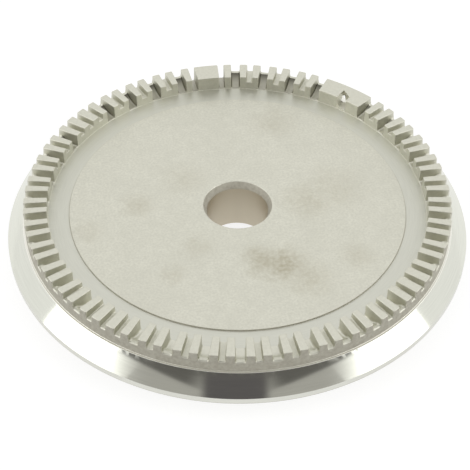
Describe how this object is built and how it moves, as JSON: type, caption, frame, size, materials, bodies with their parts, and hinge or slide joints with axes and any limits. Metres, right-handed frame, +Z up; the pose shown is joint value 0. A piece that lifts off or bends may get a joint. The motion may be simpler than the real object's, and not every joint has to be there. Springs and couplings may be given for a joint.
{
  "type": "gas burner head",
  "caption": "Round cast aluminium gas burner head: a slotted flame crown round a shallow tray, a polished conical flange and a mixing tube through the middle.",
  "frame": {"origin": "centre of the mixing tube's lower end, the plane on which the head stands when it is taken off the hob", "axes": "+Z up along the mixing tube, towards the tooth tops; +Y through the plain block on the crown"},
  "size_m": [0.1, 0.1, 0.0151],
  "materials": {
    "aluminium_casting": "matt cast and turned tray and crown, polished cone on the flange"
  },
  "bodies": {
    "root": {"burner_head": "aluminium_casting"}
  },
  "joints": []
}
